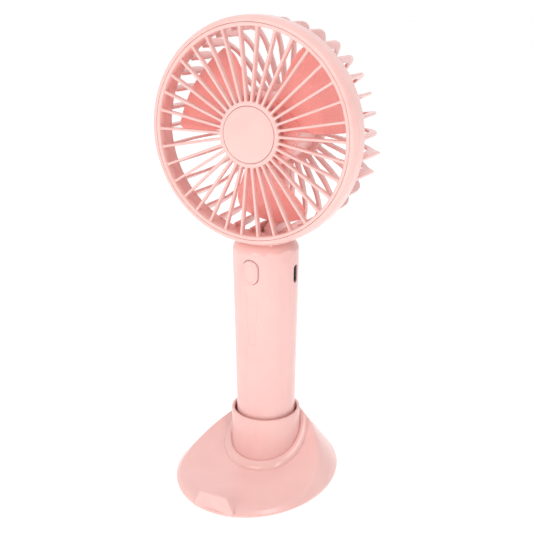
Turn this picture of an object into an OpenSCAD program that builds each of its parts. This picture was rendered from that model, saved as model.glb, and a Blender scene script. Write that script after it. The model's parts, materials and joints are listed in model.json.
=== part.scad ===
// Handheld electric fan standing in its desk stand.
// Millimetres, +Z up, the fan blows towards -Y.
// Origin: centre of the stand's oval footprint, on the desk.

/* [Head] */
// Height of the fan's axis above the desk
axis_h = 173.5; // [172:0.5:176]
// Outside radius of the head ring
ring_r = 51.5; // [51:0.1:52]
// Radius of the seam between the front grille and the head ring
seam_r = 48.5; // [48.2:0.1:48.8]
// Inside radius of the front grille's rim
rim_r = 46.8; // [46:0.1:47.2]
// Radius of the front grille's middle boss
boss_r = 14.9; // [14:0.1:16]
// Number of ribs in the front grille and in the rear guard
rib_count = 34; // [30:2:38]
// Thickness of a front rib
front_rib_t = 1.1; // [0.9:0.1:1.4]
// Depth of a front rib, front to back
front_rib_d = 3.0; // [2.5:0.1:3.5]
// Thickness of a rear rib
rear_rib_t = 1.3; // [1:0.1:1.6]

/* [Impeller] */
// Number of blades
blade_count = 3; // [3:1:3]
// Radius over the blade tips
blade_r = 44.5; // [42:0.5:45]
// Angle that one blade covers, seen from the front
blade_sweep = 64; // [50:1:70]
// Angle of the middle of the first blade at rest, anticlockwise from +X
blade_rest = 31; // [0:1:119]
// How much further back a blade's tip lies than its root
blade_rake = 7; // [0:0.5:7]
// Thickness of a blade
blade_t = 1.4; // [1:0.1:2]

/* [Handle] */
// Handle radius just under its shoulder
grip_top_r = 16.4; // [16.2:0.1:16.6]
// Handle radius at its lower end
grip_low_r = 14.5; // [14.3:0.1:14.8]
// Wall of the handle shells
grip_wall = 1.8; // [1.6:0.1:2]
// Height of the middle of the power button
button_h = 108.4; // [107:0.2:109]
// Height of the middle of the charging port
port_h = 105.6; // [105:0.2:106.4]
// Travel of the power button
button_travel = 0.5; // [0.3:0.1:0.6]

/* [Stand] */
// Half width of the oval footprint, side to side
foot_x = 40; // [38:0.5:42]
// Half length of the oval footprint, front to back
foot_y = 47; // [46:0.5:48]
// Distance from the middle of the footprint back to the handle's axis
grip_y = 9; // [8:0.5:10]
// Outside radius of the socket collar
collar_r = 17.6; // [17.4:0.1:17.8]
// Height of the socket collar's rim
collar_h = 31; // [30:0.5:32]
// Wall of the socket collar
collar_wall = 1.5; // [1.3:0.1:1.6]

/* [Hidden] */

pink = "#FCD0CC";
coral = "#F58A82";
steel = "#B8BCC0";
copper = "#B87333";
black = "#202022";
$fn = 96;
eps = 0.01;

// Head, as distances in front of (-) or behind (+) the handle's axis
ring_front = -18.3;
ring_back = -7.5;
grille_back = -14.3;
rim_front = -18.2;
boss_front = -17.6;
guard_back = 26.4;
cap_back = 28.6;
shell_r = 50.4;
guard_hub_r = 19.6;
hub_ring_d = 4.4;
rear_rib_d = 4.3;
bend_start = [shell_r, 8];
bend_pull = [50, 24];
bend_end = [30, guard_back - 0.2];
rib_point = [51.3, 16.5];
motor_front = 3;
motor_back = 14.3;
motor_r = 12.2;
cup_r = 16.5;
clamp_screw_x = 14.4;
shaft_r = 1;
shaft_gap = 0.03;
hub_r = 17.5;
hub_front = -13.5;
hub_back = 0.8;
blade_front = -12;
blade_back = 2.5;
blade_bow = 1.6;
rib_step = 360 / rib_count;
rib_phase = 90 + rib_step / 2;

// Handle
shoulder_h = 115.2;
shoulder_round = 6.5;
shoulder_r = 10.2;
neck_r = 12.9;
neck_top = 125;
grip_bottom = 2.6;
cap_top = 5.4;
taper = (grip_top_r - grip_low_r) / (shoulder_h - grip_bottom);
split_y = 3.4;
saddle_gap = 0.15;
lug_x = 9;
lug_front = -11;
lug_back = 8.8;
lug_bottom = 113.6;
lug_gap = 0.1;
top_screw_h = 117;
top_screw_x = 5.5;
low_screw_h = 9.5;
screw_r = 1;
screw_head_r = 1.8;
top_screw_back = 12.6;
low_screw_back = 12;
button_w = 7.8;
button_l = 11.9;
button_gap = 0.3;
button_proud = 0.7;
flange_lip = 0.8;
plunger_proud = button_travel + 0.1;

// Electronics
board_back = -1.63;
board_t = 1.2;
board_front = board_back - board_t;
board_low = 88;
board_high = 111.6;
switch_d = 3.5;
cell_r = 9.1;
cell_low = 18;
cell_l = 65;
sleeve_t = 0.15;
port_l = 8.94;
port_w = 3.26;
port_d = 7.3;
lead_r = 0.55;
lead_x = 0.7;
lead_y = 5.6;
duct_w = 6;
duct_d = 5.6;
duct_path = [[0, 19.6, -15.8], [0, 16, -45], [0, 5.6, -49.4]];
lead_start = [0, 15.6, -4];
lead_exit = [0, 5.3, -52];

// Stand
cone_top = 28.6;
edge_h = 1.6;
skin_t = 1.6;
skirt_sides = 72;
pad_t = 1;
pad_inset = 2;
pad_proud = 0.4;
dish_floor = 3.1;
dish_r = 72;
dish_y = -29;
step_w = 3.6;
step_h = 2.4;
lip_low_w = 21;
lip_top_w = 14.7;
lip_top = 9.8;
lip_t = 2.2;
lip_front = -46.4;

function grip_r(z) = grip_low_r + taper * (z - grip_bottom);

// Puts a shape drawn in the fan's own plane (X across, Y up, Z towards the front) on the head's axis,
// with its Z = 0 on the handle's axis.
module on_axis() {
    translate([0, grip_y, axis_h]) rotate([90, 0, 0]) children();
}

// A turned piece on the head's axis. The profile has radius along X and distance forward along Y.
module turned() {
    on_axis() rotate_extrude() children();
}

// A straight round bar on the head's axis, from front to back, given as distances behind the handle's axis
module axial_bar(r, front, back) {
    on_axis() translate([0, 0, -back]) cylinder(r = r, h = back - front);
}

// A tube on the head's axis
module axial_tube(r_out, r_in, front, back) {
    difference() {
        axial_bar(r_out, front, back);
        axial_bar(r_in, front - eps, back + eps);
    }
}

// A rectangle with its four corners rounded by true arcs
module round_rect(w, l, r) {
    square([w - 2 * r, l], center = true);
    square([w, l - 2 * r], center = true);
    for (x = [-1, 1], y = [-1, 1]) {
        translate([x * (w / 2 - r), y * (l / 2 - r)]) circle(r);
    }
}

// A ring section from r_in to r_out and from front to back, with its outer front corner rounded
module ring_section(r_in, r_out, front, back, r) {
    translate([r_in, -back]) square([r_out - r_in, back - front - r]);
    translate([r_in, -back]) square([r_out - r_in - r, back - front]);
    translate([r_out - r, -front - r]) circle(r);
}

// A round bar from point a to point b
module bar(a, b, r) {
    d = b - a;
    l = norm(d);
    translate(a) rotate([0, acos(d[2] / l), atan2(d[1], d[0])]) cylinder(r = r, h = l, $fn = 24);
}

// A wire through all the points in turn, with a ball at each bend
module wire(points, r) {
    for (i = [1 : len(points) - 1]) {
        bar(points[i - 1], points[i], r);
    }
    for (i = [1 : len(points) - 2]) {
        translate(points[i]) sphere(r = r * 1.12, $fn = 24);
    }
}

// ---------- Stand ----------

module oval(inset, h) {
    intersection() {
        translate([0, 0, -1]) linear_extrude(h + 2) {
            scale([foot_x - inset, foot_y - inset]) circle(1, $fn = 120);
        }
        translate([-foot_x, -foot_y, 0]) cube([2 * foot_x, 2 * foot_y, h]);
    }
}

// One level of the skirt: t runs from the oval footprint (0) to the collar (1)
function skirt_ring(t, z, x_r, y_r, top_r) = [
    for (i = [0 : skirt_sides - 1])
        let (a = i * 360 / skirt_sides)
        [((1 - t) * x_r + t * top_r) * cos(a), t * grip_y + ((1 - t) * y_r + t * top_r) * sin(a), z]
];

// The flared skirt: an upright edge on the desk, then straight lines up to a circle round the handle
module skirt(inset, low, edge, top, top_r) {
    n = skirt_sides;
    x_r = foot_x - inset;
    y_r = foot_y - inset;
    points = concat(
        skirt_ring(0, low, x_r, y_r, top_r),
        skirt_ring(0, edge, x_r, y_r, top_r),
        skirt_ring(1, top, x_r, y_r, top_r)
    );
    walls = [
        for (k = [0, n], i = [0 : n - 1], h = [0, 1])
            let (j = (i + 1) % n)
            h == 0 ? [k + i, k + n + i, k + n + j] : [k + i, k + n + j, k + j]
    ];
    base = [for (i = [0 : n - 1]) i];
    lid = [for (i = [n - 1 : -1 : 0]) 2 * n + i];
    polyhedron(points, concat([base], walls, [lid]));
}

// Everything in front of and above the phone's dish, raised or lowered by drop.
// The dish is flat in front of dish_y and curves up behind it.
module dish(drop) {
    floor_z = dish_floor - drop;
    rise = [for (a = [0 : 4 : 60]) [dish_y + dish_r * sin(a), floor_z + dish_r * (1 - cos(a))]];
    rotate([90, 0, 90]) translate([0, 0, -60]) linear_extrude(120) {
        polygon(concat([[-70, 70], [-70, floor_z]], rise, [[dish_y + dish_r, 70]]));
    }
}

// What the dish leaves of the skirt, with its step round the collar
module scooped_skirt() {
    difference() {
        skirt(0, pad_proud, edge_h, cone_top, collar_r + 0.6);
        difference() {
            dish(0);
            difference() {
                translate([0, grip_y, 0]) cylinder(r = collar_r + step_w, h = collar_h);
                dish(-step_h);
            }
        }
    }
}

// Lip that keeps the phone from sliding off
module phone_lip() {
    translate([0, lip_front + lip_t, 0]) rotate([90, 0, 0]) linear_extrude(lip_t) polygon([
        [-lip_low_w / 2, edge_h - 0.6], [lip_low_w / 2, edge_h - 0.6],
        [lip_low_w / 2, dish_floor], [lip_top_w / 2, lip_top],
        [-lip_top_w / 2, lip_top], [-lip_low_w / 2, dish_floor]
    ]);
}

module stand_shell() {
    color(pink) difference() {
        union() {
            scooped_skirt();
            pad_top = pad_proud + pad_t;
            translate([0, grip_y, pad_top]) cylinder(r = collar_r, h = collar_h - pad_top);
            phone_lip();
        }
        // Hollow under the skirt, with the collar left standing in it
        difference() {
            skirt(3.2, -1, 0.6, cone_top - 3, collar_r - 1);
            dish(skin_t);
            translate([0, grip_y, -2]) cylinder(r = collar_r, h = collar_h);
        }
        // Recess for the pad
        translate([0, 0, pad_proud - 1]) oval(pad_inset, pad_t + 1);
        // Socket for the handle
        translate([0, grip_y, grip_bottom - 0.05]) cylinder(r = collar_r - collar_wall, h = collar_h);
    }
}

module anti_slip_pad() {
    color(black) oval(pad_inset + 0.2, pad_t + pad_proud);
}

// ---------- Head ----------

// Lug under the ring that sits inside the handle's neck. Behind the ring it stops short of the rear guard.
module neck_lug() {
    intersection() {
        translate([0, grip_y, lug_bottom]) cylinder(r = neck_r - grip_wall - lug_gap, h = 20);
        translate([-lug_x, grip_y + lug_front, lug_bottom]) union() {
            cube([2 * lug_x, lug_back - lug_front, axis_h - shell_r - lug_bottom - lug_gap]);
            cube([2 * lug_x, ring_back - lug_front, axis_h - seam_r - lug_bottom]);
        }
    }
}

module head_ring() {
    color(pink) difference() {
        union() {
            turned() ring_section(seam_r - 1, ring_r, ring_front, ring_back, 1.4);
            neck_lug();
        }
        // Step that takes the grille
        axial_bar(seam_r, ring_front - 1, grille_back);
        // Clear way for the air
        axial_bar(seam_r - 1 - eps, ring_front - 1, ring_back + 20);
        // Screws and leads through the lug
        for (x = [-1, 1]) {
            translate([x * top_screw_x, grip_y + 20, top_screw_h]) rotate([90, 0, 0]) {
                cylinder(r = screw_r, h = 40);
            }
        }
        translate([0, grip_y + lead_y, lug_bottom - 1]) cylinder(r = 1.9, h = 20);
    }
}

module front_grille() {
    color(pink) union() {
        axial_tube(seam_r - 0.05, rim_r, rim_front, grille_back);
        axial_tube(boss_r, boss_r - 2, boss_front, boss_front + front_rib_d + 0.2);
        axial_bar(boss_r - 1, boss_front + 1.4, boss_front + 3);
        on_axis() for (i = [0 : rib_count - 1]) {
            rotate(rib_phase + i * rib_step) {
                translate([boss_r - 1, -front_rib_t / 2, -boss_front - front_rib_d - 0.2]) {
                    cube([rim_r + 0.8 - boss_r + 1, front_rib_t, front_rib_d]);
                }
            }
        }
    }
}

module hub_badge() {
    color(pink) axial_bar(boss_r - 2.15, boss_front - 0.1, boss_front + 1.4);
}

// Curve of a rear rib's outside, from its straight run (t = 0) to its back (t = 1), moved by step
function rib_bend(t0, step) = [
    for (i = [0 : 8])
        let (t = t0 + (1 - t0) * i / 8)
        (1 - t) * (1 - t) * bend_start + 2 * t * (1 - t) * bend_pull + t * t * bend_end
        - [step * (1 - 0.9 * t), step * t]
];

// Inside of a rear rib, from the hub out to the ring
function rib_inside() = concat(
    [[guard_hub_r - 0.4, guard_back - rear_rib_d]],
    [for (i = [8 : -1 : 0]) rib_bend(0, rear_rib_d)[i]],
    [[shell_r - rear_rib_d, ring_back]]
);

// Outline of one rear rib: radius along X and distance back along Y. It runs back from the ring, turns
// a round corner and runs in to the hub.
module rear_rib_outline() {
    polygon(concat(
        [[shell_r, ring_back]], rib_bend(0, 0), [[guard_hub_r - 0.4, guard_back]], rib_inside()
    ));
}

// Outline of the ribs whose corner is filled out to a sharp point, just below the middle of each side
module pointed_rib_outline() {
    polygon(concat(
        [[shell_r, ring_back], rib_point], rib_bend(0.38, 0),
        [[guard_hub_r - 0.4, guard_back]], rib_inside()
    ));
}

module duct_block(at) {
    translate([0, grip_y, axis_h] + at) cube([duct_w, duct_d, 2], center = true);
}

// The leads' way from the motor to the handle, moved sideways by x
function lead_points(x) = [
    for (p = concat([lead_start], duct_path, [lead_exit])) [x, grip_y, axis_h] + p
];

module rear_guard() {
    color(pink) difference() {
        union() {
            // Ring that closes the back of the head ring
            axial_tube(shell_r, seam_r - 0.6, ring_back, ring_back + 2);
            // Hub and motor cup
            axial_tube(guard_hub_r, cup_r - 0.5, guard_back - hub_ring_d, guard_back + 1);
            axial_bar(cup_r, motor_front, guard_back);
            on_axis() for (i = [0 : rib_count - 1]) {
                pointed = i == 10 || i == 11 || i == rib_count - 9 || i == rib_count - 10;
                rotate(rib_phase - i * rib_step) rotate([-90, 0, 0]) {
                    translate([0, 0, -rear_rib_t / 2]) linear_extrude(rear_rib_t) {
                        if (pointed) pointed_rib_outline();
                        else rear_rib_outline();
                    }
                }
            }
            // Duct for the motor leads, down the middle of the lower back
            for (i = [1 : len(duct_path) - 1]) {
                hull() {
                    duct_block(duct_path[i - 1]);
                    duct_block(duct_path[i]);
                }
            }
        }
        // Motor seat, open to the front
        axial_bar(motor_r, motor_front - 1, motor_back);
        axial_bar(motor_r - 1, motor_front, guard_back - 1.4);
        // Seat of the rear cap
        axial_bar(cup_r - 0.4, guard_back - 0.2, cap_back + 1);
        // Screw holes of the motor clamp
        for (x = [-1, 1]) {
            translate([x * clamp_screw_x, grip_y + 9, axis_h]) rotate([90, 0, 0]) {
                cylinder(r = 0.8, h = 10, $fn = 24);
            }
        }
        // Bore of the duct
        wire(lead_points(0), 1.6);
    }
}

module rear_cap() {
    color(pink) difference() {
        axial_bar(cup_r - 0.45, guard_back - 0.2, cap_back);
        axial_tube(cup_r - 2, cup_r - 2.6, cap_back - 0.4, cap_back + 1);
    }
}

// ---------- Rotor ----------

// Point on a blade. u runs from the front edge (0) to the back edge (1), v from the hub (0) to the tip (1).
function blade_point(u, v, side) =
    let (
        r = hub_r - 1.2 + v * (blade_r - hub_r + 1.2),
        edge = 1 - 0.16 * pow(2 * v - 1, 4),
        a = blade_sweep * (0.5 - u) * edge + 4 * (v - 0.5),
        chord = blade_back - blade_front - 2 * blade_t,
        y = blade_front + blade_t + u * chord + blade_bow * sin(180 * u) + blade_rake * v
    )
    [r * cos(a), r * sin(a), -y - side * blade_t / 2];

// One blade: a helical sheet with thickness
module blade() {
    n = 10;
    m = 8;
    row = m + 1;
    side_points = (n + 1) * row;
    points = [
        for (side = [-1, 1], i = [0 : n], j = [0 : m]) blade_point(i / n, j / m, side)
    ];
    function at(s, i, j) = s * side_points + i * row + j;
    sheet = [
        for (s = [0, 1], i = [0 : n - 1], j = [0 : m - 1], k = [0, 1])
            let (
                a = at(s, i, j),
                b = at(s, i + 1, j),
                c = at(s, i + 1, j + 1),
                d = at(s, i, j + 1),
                t = k == 0 ? [a, b, c] : [a, c, d]
            )
            s == 0 ? [t[2], t[1], t[0]] : t
    ];
    ends = [
        for (j = [0 : m - 1], i = [0, n], k = [0, 1])
            let (
                a = at(0, i, j),
                b = at(0, i, j + 1),
                c = at(1, i, j + 1),
                d = at(1, i, j),
                t = k == 0 ? [a, b, c] : [a, c, d]
            )
            i == 0 ? t : [t[2], t[1], t[0]]
    ];
    sides = [
        for (i = [0 : n - 1], j = [0, m], k = [0, 1])
            let (
                a = at(0, i, j),
                b = at(1, i, j),
                c = at(1, i + 1, j),
                d = at(0, i + 1, j),
                t = k == 0 ? [a, b, c] : [a, c, d]
            )
            j == 0 ? t : [t[2], t[1], t[0]]
    ];
    polyhedron(points, concat(sheet, ends, sides));
}

module impeller() {
    color(coral) {
        difference() {
            union() {
                axial_tube(hub_r, hub_r - 1.4, hub_front + 0.5, hub_back);
                axial_bar(hub_r, hub_front, hub_front + 1.6);
                axial_bar(3.2, hub_front, 0);
                on_axis() for (i = [0 : blade_count - 1]) {
                    rotate(blade_rest + i * 360 / blade_count) blade();
                }
            }
            axial_bar(shaft_r, hub_front + 1, 1);
        }
    }
}

module motor_shaft() {
    color(steel) axial_bar(shaft_r, hub_front + 1, motor_back + 0.6);
}

module armature_core() {
    color(steel) difference() {
        union() {
            axial_bar(3, 5.4, 10);
            on_axis() for (i = [0 : 2]) {
                rotate(i * 120) translate([0, -1.5, -10]) cube([8, 3, 4.4]);
            }
            difference() {
                axial_tube(9, 7.4, 5.6, 10);
                on_axis() for (i = [0 : 2]) {
                    rotate(i * 120 + 60) translate([0, -1.2, -11]) cube([12, 2.4, 6.6]);
                }
            }
        }
        axial_bar(shaft_r, 4, 12);
    }
}

module armature_windings() {
    color(copper) on_axis() for (i = [0 : 2]) {
        rotate(i * 120) difference() {
            translate([3.6, -2.6, -10.4]) cube([3.2, 5.2, 5.2]);
            translate([3, -1.5 - eps, -10 - eps]) cube([5, 3 + 2 * eps, 4.4 + 2 * eps]);
        }
    }
}

module commutator() {
    color(copper) axial_tube(2.4, shaft_r, 10.6, 12.4);
}

// ---------- Motor ----------

module motor_can() {
    color(steel) difference() {
        axial_bar(motor_r, motor_front, motor_back - 1);
        axial_bar(motor_r - 0.5, motor_front + 0.6, motor_back);
        axial_bar(3, motor_front - 1, motor_front + 1);
    }
}

module motor_end_bell() {
    color(black) difference() {
        union() {
            axial_bar(motor_r, motor_back - 1, motor_back);
            axial_bar(motor_r - 0.5, motor_back - 1.6, motor_back);
        }
        axial_bar(3, motor_back - 2, motor_back + 1);
    }
}

module motor_magnets() {
    color(black) on_axis() difference() {
        translate([0, 0, -10.4]) cylinder(r = motor_r - 0.5, h = 6);
        translate([0, 0, -12]) cylinder(r = 9.5, h = 8);
        for (a = [0, 90]) {
            rotate(a) translate([-15, -2, -12]) cube([30, 4, 8]);
        }
    }
}

module bush(front, back) {
    color(copper) axial_tube(3, shaft_r + shaft_gap, front, back);
}

module front_bush() {
    bush(motor_front - 0.5, motor_front + 2);
}

module rear_bush() {
    bush(motor_back - 1.6, motor_back);
}

module motor_brushes() {
    color(copper) for (x = [-1, 1]) {
        translate([x * 4.6 - 1.8, grip_y + 10.9, axis_h - 0.8]) cube([3.6, 1.2, 1.6]);
    }
}

module motor_clamp() {
    color(steel) difference() {
        axial_bar(cup_r - 0.3, motor_front - 1, motor_front);
        axial_bar(4, motor_front - 2, motor_front + 1);
        for (x = [-1, 1]) {
            translate([x * clamp_screw_x, grip_y + 9, axis_h]) rotate([90, 0, 0]) {
                cylinder(r = 0.85, h = 10, $fn = 24);
            }
        }
    }
}

module clamp_screws() {
    color(steel) for (x = [-1, 1]) {
        translate([x * clamp_screw_x, grip_y + motor_front - 1, axis_h]) rotate([-90, 0, 0]) {
            cylinder(r = 0.8, h = 5, $fn = 24);
            translate([0, 0, -0.7]) cylinder(r = 1.5, h = 0.7, $fn = 24);
        }
    }
}

module motor_leads() {
    color("firebrick") for (x = [-1, 1]) {
        wire(concat(lead_points(x * lead_x), [
            [x * lead_x, grip_y + lead_y, lug_bottom - 0.8],
            [x * 3, grip_y + board_back + lead_r, board_high - 1]
        ]), lead_r);
    }
}

// ---------- Handle ----------

// Handle's cross-section, scaled to radius 1: round at the front and back, with flats on each side
function flat_angles() = [50, 70, 85, 95, 110, 130];
function side_points(s) = [for (a = flat_angles()) [s * sin(a), -cos(a)]];
function grip_section() = concat(
    [for (a = [-46 : 4 : 46]) [sin(a), -cos(a)]],
    side_points(1),
    [for (a = [134 : 4 : 226]) [sin(a), -cos(a)]],
    [for (i = [5 : -1 : 0]) side_points(-1)[i]]
);

module grip_outside() {
    intersection() {
        translate([0, grip_y, grip_bottom]) {
            h = neck_top - grip_bottom;
            linear_extrude(h, scale = grip_r(neck_top) / grip_low_r) {
                polygon([for (p = grip_section()) p * grip_low_r]);
            }
        }
        // Rounded shoulder with a neck that carries the head
        translate([0, grip_y, 0]) rotate_extrude() {
            square([grip_top_r + 1, shoulder_h]);
            square([shoulder_r, shoulder_h + shoulder_round]);
            square([neck_r, neck_top]);
            translate([shoulder_r, shoulder_h]) circle(shoulder_round, $fn = 64);
        }
    }
}

// Both shells together, hollow, with the holes that cross the split
module grip_body() {
    difference() {
        union() {
            difference() {
                grip_outside();
                translate([0, grip_y, cap_top]) {
                    r_low = grip_r(cap_top) - grip_wall;
                    r_high = grip_r(shoulder_h) - grip_wall;
                    cylinder(r1 = r_low, r2 = r_high, h = shoulder_h - cap_top);
                }
                translate([0, grip_y, shoulder_h - eps]) cylinder(r = neck_r - grip_wall, h = 20);
                translate([0, grip_y, 0]) cylinder(r = grip_low_r - grip_wall - 0.4, h = 10);
            }
            intersection() {
                grip_outside();
                union() {
                    cell_cradles();
                    screw_posts();
                }
            }
        }
        // Saddle under the head
        axial_bar(ring_r + saddle_gap, -30, 30);
        // Screw holes with counterbores at the back
        screw_hole(0, low_screw_h, low_screw_back);
        for (x = [-1, 1]) {
            screw_hole(x * top_screw_x, top_screw_h, top_screw_back);
        }
    }
}

// Ribs that hold the cell
module cell_cradles() {
    for (z = [28, 72]) {
        translate([0, grip_y, z]) difference() {
            cylinder(r = grip_top_r - 1, h = 1.6);
            translate([0, 0, -1]) cylinder(r = cell_r + sleeve_t + 0.05, h = 4);
            translate([-1.5, cell_r - 1, -1]) cube([3, 4.4, 4]);
        }
    }
}

// Posts that the screws pass through and bite into
module screw_posts() {
    translate([0, grip_y + 15, low_screw_h]) rotate([90, 0, 0]) cylinder(r = 3, h = 30);
    for (x = [-1, 1]) {
        translate([x * top_screw_x, grip_y, top_screw_h]) rotate([90, 0, 0]) {
            translate([0, 0, -16]) cylinder(r = 2.6, h = 16 - lug_back);
            translate([0, 0, -lug_front]) cylinder(r = 2.6, h = 5);
        }
    }
}

// Hole for one screw that goes in from the back, where the underside of its head sits at back
module screw_hole(x, z, back) {
    translate([x, grip_y, z]) rotate([90, 0, 0]) {
        translate([0, 0, -back - eps]) cylinder(r = screw_r, h = back + 13, $fn = 24);
        translate([0, 0, -20]) cylinder(r = screw_head_r + 0.1, h = 20 - back, $fn = 32);
    }
}

// One screw in its hole
module screw(x, z, back) {
    translate([x, grip_y + back, z]) rotate([90, 0, 0]) cylinder(r = screw_r, h = back + 12.5, $fn = 24);
    translate([x, grip_y + back + 1.3, z]) rotate([90, 0, 0]) cylinder(r = screw_head_r, h = 1.3, $fn = 32);
}

// Tapering flute below the button: half widths at its top and bottom, its ends, and its depth
module flute(top_half, low_half, top, low, depth) {
    r = grip_r((top + low) / 2);
    translate([0, grip_y - r + depth, (top + low) / 2]) rotate([90 - atan(taper), 0, 0]) {
        linear_extrude(4) polygon([
            [-top_half, (top - low) / 2], [top_half, (top - low) / 2],
            [low_half, (low - top) / 2], [-low_half, (low - top) / 2]
        ]);
    }
}

module handle_front_shell() {
    color(pink) difference() {
        grip_body();
        translate([-30, grip_y + split_y, 0]) cube([60, 40, 140]);
        // Button opening
        translate([0, grip_y - 10, button_h]) rotate([90, 0, 0]) linear_extrude(12) {
            round_rect(button_w + 2 * button_gap, button_l + 2 * button_gap, button_w / 2);
        }
        flute(5.3, 3.2, 101.2, 49, 0.45);
        flute(3.7, 2.1, 101.2, 70.6, 0.9);
        // Port opening
        translate([8, grip_y, port_h]) rotate([90, 0, 90]) linear_extrude(12) {
            round_rect(port_w + 0.9, port_l + 0.5, port_w / 2 + 0.3);
        }
    }
}

module handle_rear_shell() {
    color(pink) difference() {
        grip_body();
        translate([-30, grip_y + split_y - 60, 0]) cube([60, 60, 140]);
    }
}

module handle_end_cap() {
    color(pink) translate([0, grip_y, grip_bottom]) {
        cylinder(r = grip_low_r - grip_wall - 0.45, h = 2.4);
    }
}

module handle_screws() {
    color(steel) {
        screw(0, low_screw_h, low_screw_back);
        for (x = [-1, 1]) {
            screw(x * top_screw_x, top_screw_h, top_screw_back);
        }
    }
}

module power_button() {
    skin = grip_r(button_h);
    color(pink) {
        translate([0, grip_y - skin + 3.2, button_h]) rotate([90, 0, 0]) linear_extrude(3.2 + button_proud) {
            round_rect(button_w, button_l, button_w / 2 - 0.05);
        }
        translate([0, grip_y - skin + 3.75, button_h]) rotate([90, 0, 0]) linear_extrude(0.8) {
            flange_r = button_w / 2 + flange_lip - 0.1;
            round_rect(button_w + 2 * flange_lip, button_l + 2 * flange_lip, flange_r);
        }
        translate([0, grip_y + board_front - switch_d - plunger_proud, button_h]) rotate([90, 0, 0]) {
            cylinder(r = 1.5, h = skin - 3.4 + board_front - switch_d - plunger_proud);
        }
    }
}

module switch_plunger() {
    color(black) translate([0, grip_y + board_front - 1.8, button_h]) rotate([90, 0, 0]) {
        cylinder(r = 1.7, h = switch_d - 1.8 + plunger_proud);
    }
}

module tact_switch() {
    color(steel) difference() {
        translate([-3, grip_y + board_front - switch_d, button_h - 3]) cube([6, switch_d, 6]);
        translate([0, grip_y + board_front - 1, button_h]) rotate([90, 0, 0]) cylinder(r = 2, h = 5);
    }
}

module circuit_board() {
    color("darkgreen") translate([-10.5, grip_y + board_front, board_low]) {
        cube([21, board_t, board_high - board_low]);
    }
}

module board_chips() {
    color(black) {
        translate([-6, grip_y + board_back, 92]) cube([5, 1.5, 4]);
        translate([-6, grip_y + board_back, 99]) cube([3, 1.2, 3]);
        translate([2, grip_y + board_front - 1, 91]) cube([4, 1, 3]);
        translate([-7, grip_y + board_front - 2, 94]) cube([3.4, 2, 3.4]);
    }
}

module status_led() {
    color("white") translate([3, grip_y + board_front - 0.8, 98]) cube([1.6, 0.8, 0.8]);
}

module usb_port_shell() {
    color(steel) difference() {
        translate([15.7 - port_d, grip_y, port_h]) rotate([90, 0, 90]) linear_extrude(port_d) {
            round_rect(port_w, port_l, port_w / 2 - 0.15);
        }
        translate([16.2 - port_d, grip_y, port_h]) rotate([90, 0, 90]) linear_extrude(port_d) {
            round_rect(port_w - 0.6, port_l - 0.6, port_w / 2 - 0.45);
        }
    }
}

module usb_port_tongue() {
    color(black) translate([16.2 - port_d, grip_y - 0.35, port_h - 3.3]) cube([port_d - 1.6, 0.7, 6.6]);
}

// ---------- Battery ----------

module battery_cell() {
    color(steel) translate([0, grip_y, cell_low]) {
        cylinder(r = cell_r, h = cell_l);
    }
}

module battery_sleeve() {
    color("royalblue") translate([0, grip_y, cell_low + 0.3]) difference() {
        cylinder(r = cell_r + sleeve_t, h = cell_l - 0.6);
        translate([0, 0, -1]) cylinder(r = cell_r, h = cell_l + 2);
    }
}

module battery_spring() {
    color(steel) translate([0, grip_y, cell_low]) {
        translate([0, 0, -0.5]) cylinder(r = 8, h = 0.5);
        translate([0, 0, -4.5]) difference() {
            cylinder(r = 4, h = 4);
            translate([0, 0, -1]) cylinder(r = 3.2, h = 6);
        }
    }
}

module battery_contact() {
    color(steel) translate([0, grip_y, cell_low + cell_l]) cylinder(r = 6, h = 0.6);
}

module battery_leads() {
    color("firebrick") {
        wire([
            [0, grip_y + 6, cell_low - 1.1], [0, grip_y + 11, cell_low - 1.1],
            [0, grip_y + 11, 85], [0, grip_y + board_back + lead_r, 90]
        ], lead_r);
        wire([
            [-4, grip_y, cell_low + cell_l + 0.6 + lead_r], [-4, grip_y + board_back + lead_r + 0.4, 89]
        ], lead_r);
    }
}

stand_shell();
anti_slip_pad();
head_ring();
front_grille();
hub_badge();
rear_guard();
rear_cap();
handle_front_shell();
handle_rear_shell();
handle_end_cap();
handle_screws();
impeller();
motor_shaft();
armature_core();
armature_windings();
commutator();
motor_can();
motor_end_bell();
motor_magnets();
front_bush();
rear_bush();
motor_brushes();
motor_clamp();
clamp_screws();
motor_leads();
power_button();
switch_plunger();
tact_switch();
circuit_board();
board_chips();
status_led();
usb_port_shell();
usb_port_tongue();
battery_cell();
battery_sleeve();
battery_spring();
battery_contact();
battery_leads();
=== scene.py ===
"""Handheld electric fan in its desk stand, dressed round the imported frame.

The classes hold their sizes in millimetres. Shapes round the fan's axis are drawn in the head's frame
(X across, Y back, Z up, origin on the axis level with the grip), and shapes round the grip in the grip's
frame (origin on the desk, under the grip's axis). Both are moved into the part's frame and turned to metres
when a piece is made.
"""

from __future__ import annotations

import json
import logging
import math
from dataclasses import dataclass
from enum import Enum
from typing import Callable, Mapping, Sequence

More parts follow.
